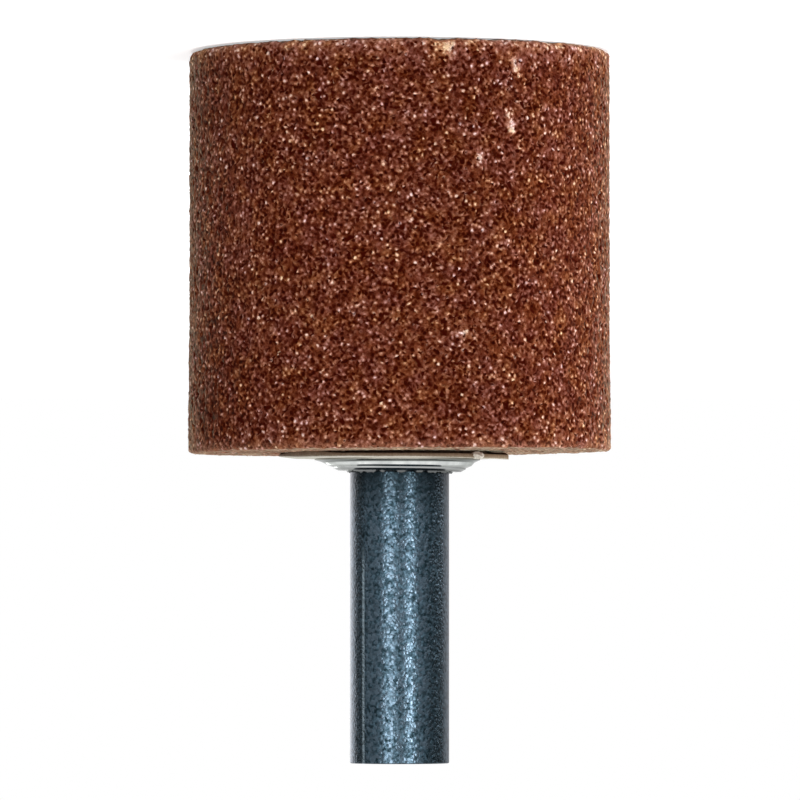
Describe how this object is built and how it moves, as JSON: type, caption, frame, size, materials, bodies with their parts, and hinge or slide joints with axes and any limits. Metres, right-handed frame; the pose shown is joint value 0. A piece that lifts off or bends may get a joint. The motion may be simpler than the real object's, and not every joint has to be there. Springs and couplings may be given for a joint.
{
  "type": "mounted point",
  "caption": "Cylindrical bonded abrasive head cemented on a knurled steel spindle with a paper washer and a dished collar; its plain shank is held in a collet to grind by hand",
  "frame": {"origin": "centre of the flat free end of the abrasive head, on the surface that the point stands on", "axes": "+Z along the spindle from the head to the shank's free end; +X and +Y across it, the paper washer lying off centre towards +X"},
  "size_m": [0.027, 0.027, 0.0456],
  "materials": {
    "bonded_abrasive": "coarse open grain, reddish brown, unglazed",
    "kraft_paper": "thin brown kraft paper, cut edge",
    "bright_steel": "bright plated sheet, glossy",
    "dark_steel": "centreless ground, darkened blue-grey, fine pits",
    "cement": "dull set cement"
  },
  "bodies": {
    "root": {"abrasive_head": "bonded_abrasive", "paper_washer": "kraft_paper", "steel_collar": "bright_steel", "spindle": "dark_steel", "bonding_cement": "cement"}
  },
  "joints": []
}
